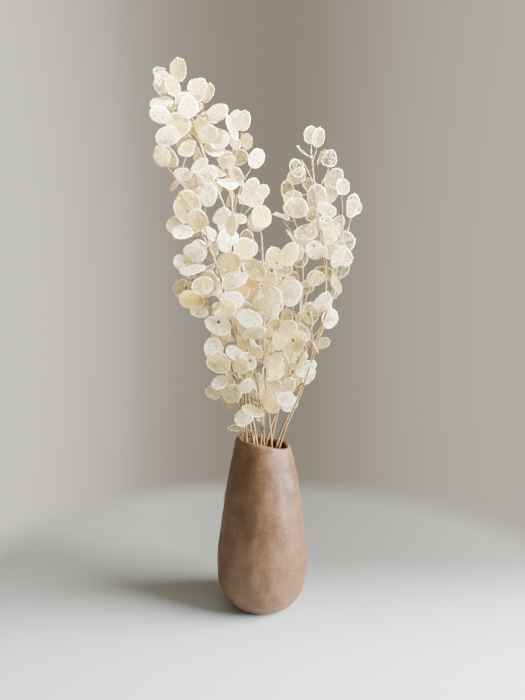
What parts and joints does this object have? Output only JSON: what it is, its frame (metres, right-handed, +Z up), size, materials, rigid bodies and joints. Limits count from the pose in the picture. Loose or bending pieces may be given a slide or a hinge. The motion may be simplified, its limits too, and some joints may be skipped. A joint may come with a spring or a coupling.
{
  "type": "honesty seed pod stems in a clay vase",
  "caption": "Dried honesty stems with pale papery seed pods, fanning in two arms out of a hand-formed tapering clay vase.",
  "frame": {"origin": "middle of the vase's foot, on the surface that it stands on", "axes": "+Z up, +X to the right of the picture's view, +Y away from it"},
  "size_m": [0.3133, 0.2366, 0.8031],
  "materials": {
    "clay": "unglazed, matte and slightly grainy, hand-formed",
    "dried_plant": "bleached and dried, papery, with a soft satin sheen on the pods"
  },
  "bodies": {
    "root": {"vase": "clay", "stem_left_tall": "dried_plant", "stem_left_back": "dried_plant", "stem_left_front": "dried_plant", "stem_left_low": "dried_plant", "stem_front": "dried_plant", "stem_front_low": "dried_plant", "stem_back": "dried_plant", "stem_back_low": "dried_plant", "stem_right_tall": "dried_plant", "stem_right_front": "dried_plant", "stem_right_back": "dried_plant", "stem_right_low": "dried_plant"}
  },
  "joints": []
}
